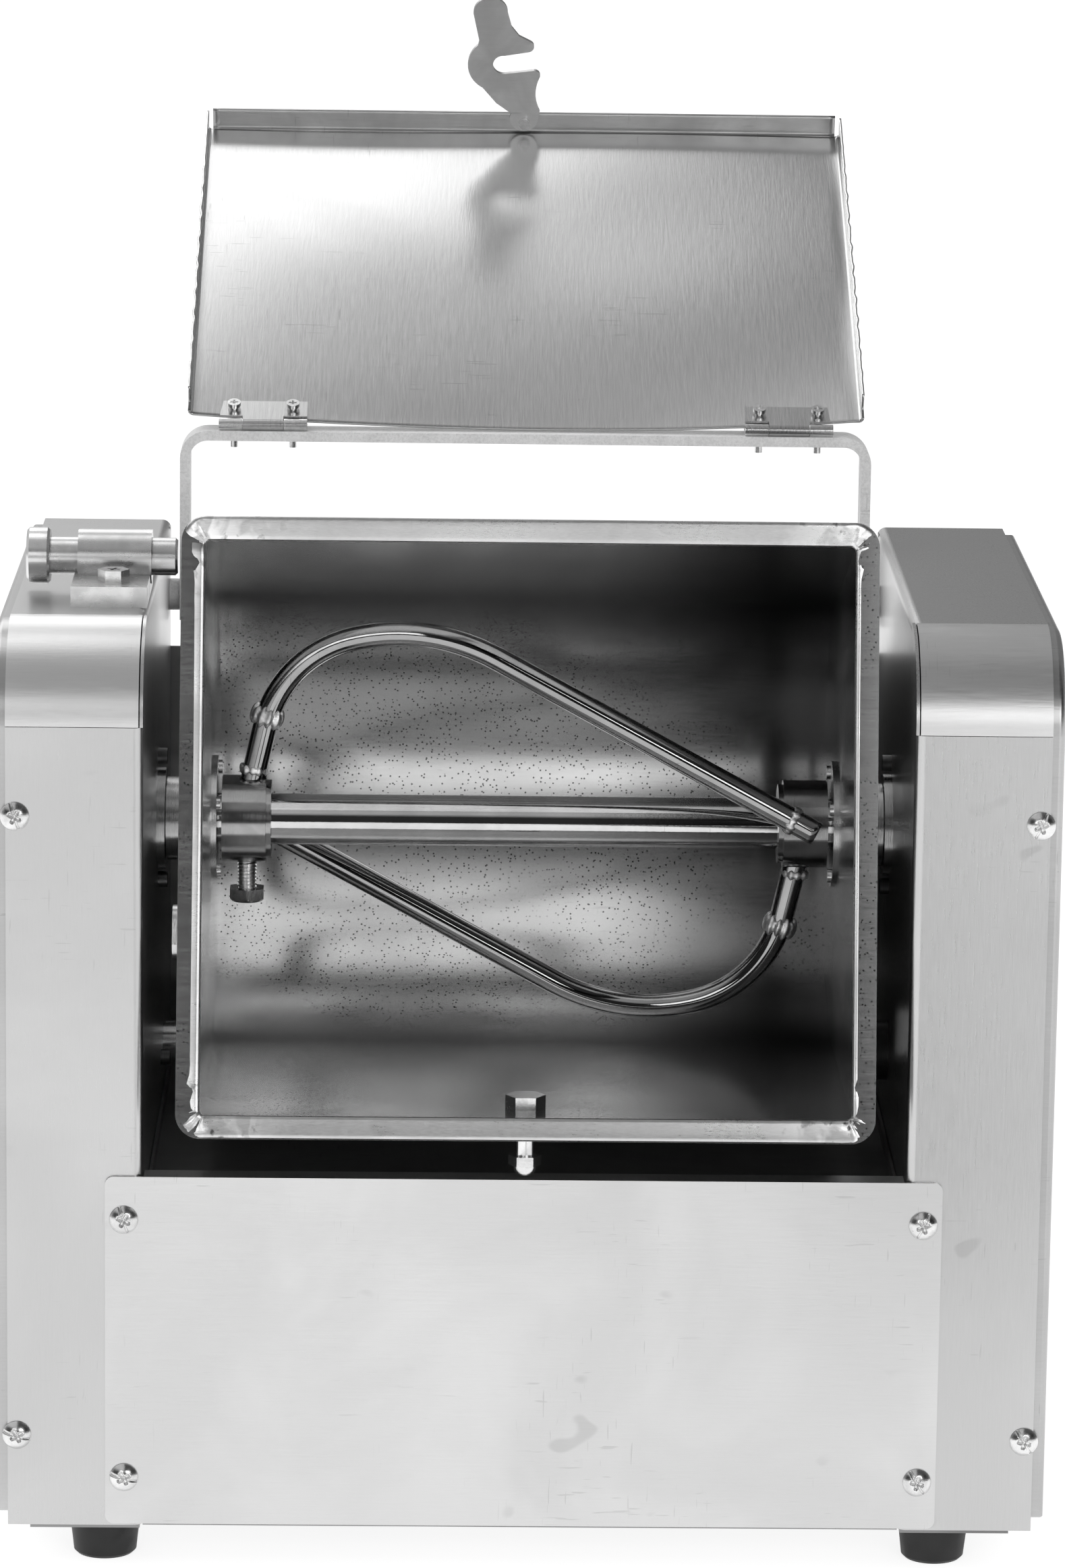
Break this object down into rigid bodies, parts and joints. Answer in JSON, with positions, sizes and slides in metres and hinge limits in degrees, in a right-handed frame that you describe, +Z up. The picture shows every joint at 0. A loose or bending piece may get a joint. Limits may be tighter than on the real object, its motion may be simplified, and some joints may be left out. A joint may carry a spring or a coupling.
{
  "type": "dough mixer",
  "caption": "Small stainless dough mixer with a horizontal ribbon agitator in a tilting U-shaped tub between two housings, a hinged lid with a latch hook and a sliding lock pin",
  "frame": {"origin": "On the floor, under the middle of the machine's footprint", "axes": "+X to the machine's right as seen from its front, +Y to the back, +Z up"},
  "size_m": [0.5055, 0.5768, 0.7021],
  "materials": {
    "inner_shell": "satin",
    "corner_cap": "satin",
    "side_cover": "satin",
    "panel": "satin with faint scratches",
    "inner_sheet": "dull",
    "rubber": "matte",
    "screws": "bright",
    "bracket": "grained",
    "cast_block": "dull",
    "bearing": "semi-gloss",
    "motor": "satin",
    "plastic": "matte",
    "tub_sheet": "polished, satin inside, ground rim",
    "polished": "mirror polished",
    "hub_steel": "machined",
    "dark_steel": "machined",
    "gear_steel": "oiled",
    "lid_sheet": "bright satin",
    "green_cap": "gloss",
    "red_cap": "gloss"
  },
  "bodies": {
    "frame": {"left_inner_shell": "inner_shell", "right_inner_shell": "inner_shell", "left_corner_cap": "corner_cap", "right_corner_cap": "corner_cap", "left_side_cover": "side_cover", "right_side_cover": "side_cover", "front_panel": "panel", "rear_panel": "inner_sheet", "base_pan": "inner_sheet", "drip_tray": "inner_sheet", "foot_plates": "inner_sheet", "feet": "rubber", "panel_screws": "screws", "cover_screws": "screws", "lid_bracket": "bracket", "bracket_bolts": "bracket", "bracket_spacers": "bracket", "hinge_frame_leaves": "bracket", "hinge_pins": "screws", "hinge_frame_screws": "screws", "pin_sleeve": "cast_block", "sleeve_bolt": "screws", "left_bearing": "bearing", "right_bearing": "bearing", "bearing_bolts": "hub_steel", "wall_discs": "hub_steel", "stop_buffer": "rubber", "jackshaft_bearings": "bearing", "motor_body": "motor", "drive_belt": "rubber", "switch_box": "plastic", "cable_gland": "plastic"},
    "tub": {"tub_shell": "tub_sheet", "tub_bushes": "hub_steel", "seal_plates": "hub_steel", "bush_screws": "screws", "lock_boss": "hub_steel", "stop_lug": "hub_steel", "catch_bolt": "polished", "catch_nut": "polished"},
    "agitator": {"main_shaft": "polished", "clamp_collar": "hub_steel", "drive_hub": "dark_steel", "collar_bolt": "polished", "upper_arm": "polished", "lower_arm": "polished", "main_gear": "gear_steel"},
    "jackshaft": {"jackshaft": "hub_steel", "pinion": "gear_steel", "driven_pulley": "gear_steel"},
    "motor_rotor": {"motor_shaft": "hub_steel", "motor_pulley": "gear_steel"},
    "lid": {"lid_panel": "lid_sheet", "hinge_lid_leaves": "bracket", "hinge_lid_screws": "screws", "latch_rivet": "hub_steel"},
    "latch": {"latch_hook": "hub_steel"},
    "lock_pin": {"lock_pin": "cast_block"},
    "start_button": {"start_button": "green_cap"},
    "stop_button": {"stop_button": "red_cap"}
  },
  "joints": [
    {"name": "tub_tilt", "type": "hinge", "parent": "frame", "child": "tub", "pos_m": [0, 0.0095, 0.3297], "axis": [-1, 0, 0], "range_deg": [0, 76]},
    {"name": "agitator_spin", "type": "hinge", "parent": "frame", "child": "agitator", "pos_m": [0, 0.0095, 0.3297], "axis": [1, 0, 0], "continuous": true},
    {"name": "jackshaft_spin", "type": "hinge", "parent": "frame", "child": "jackshaft", "pos_m": [0, 0.0725, 0.20016], "axis": [1, 0, 0], "continuous": true},
    {"name": "motor_spin", "type": "hinge", "parent": "frame", "child": "motor_rotor", "pos_m": [0, -0.0055, 0.095], "axis": [1, 0, 0], "continuous": true},
    {"name": "lid_hinge", "type": "hinge", "parent": "frame", "child": "lid", "pos_m": [0, 0.1375, 0.50555], "axis": [1, 0, 0], "range_deg": [0, 156]},
    {"name": "latch_pivot", "type": "hinge", "parent": "lid", "child": "latch", "pos_m": [0, 0.39488, 0.63185], "axis": [0, 0.9135, 0.4067], "range_deg": [-30, 18.28]},
    {"name": "lock_pin_slide", "type": "slide", "parent": "frame", "child": "lock_pin", "axis": [1, 0, 0], "range_m": [0, 0.011]},
    {"name": "start_press", "type": "slide", "parent": "frame", "child": "start_button", "axis": [-1, 0, 0], "range_m": [0, 0.004], "stiffness_N_per_m": 400, "springref_m": -0.002},
    {"name": "stop_press", "type": "slide", "parent": "frame", "child": "stop_button", "axis": [-1, 0, 0], "range_m": [0, 0.004], "stiffness_N_per_m": 400, "springref_m": -0.002}
  ],
  "couplings": [
    {"joint": "jackshaft_spin", "follows": "agitator_spin", "ratio": -3},
    {"joint": "motor_spin", "follows": "agitator_spin", "ratio": -9}
  ]
}
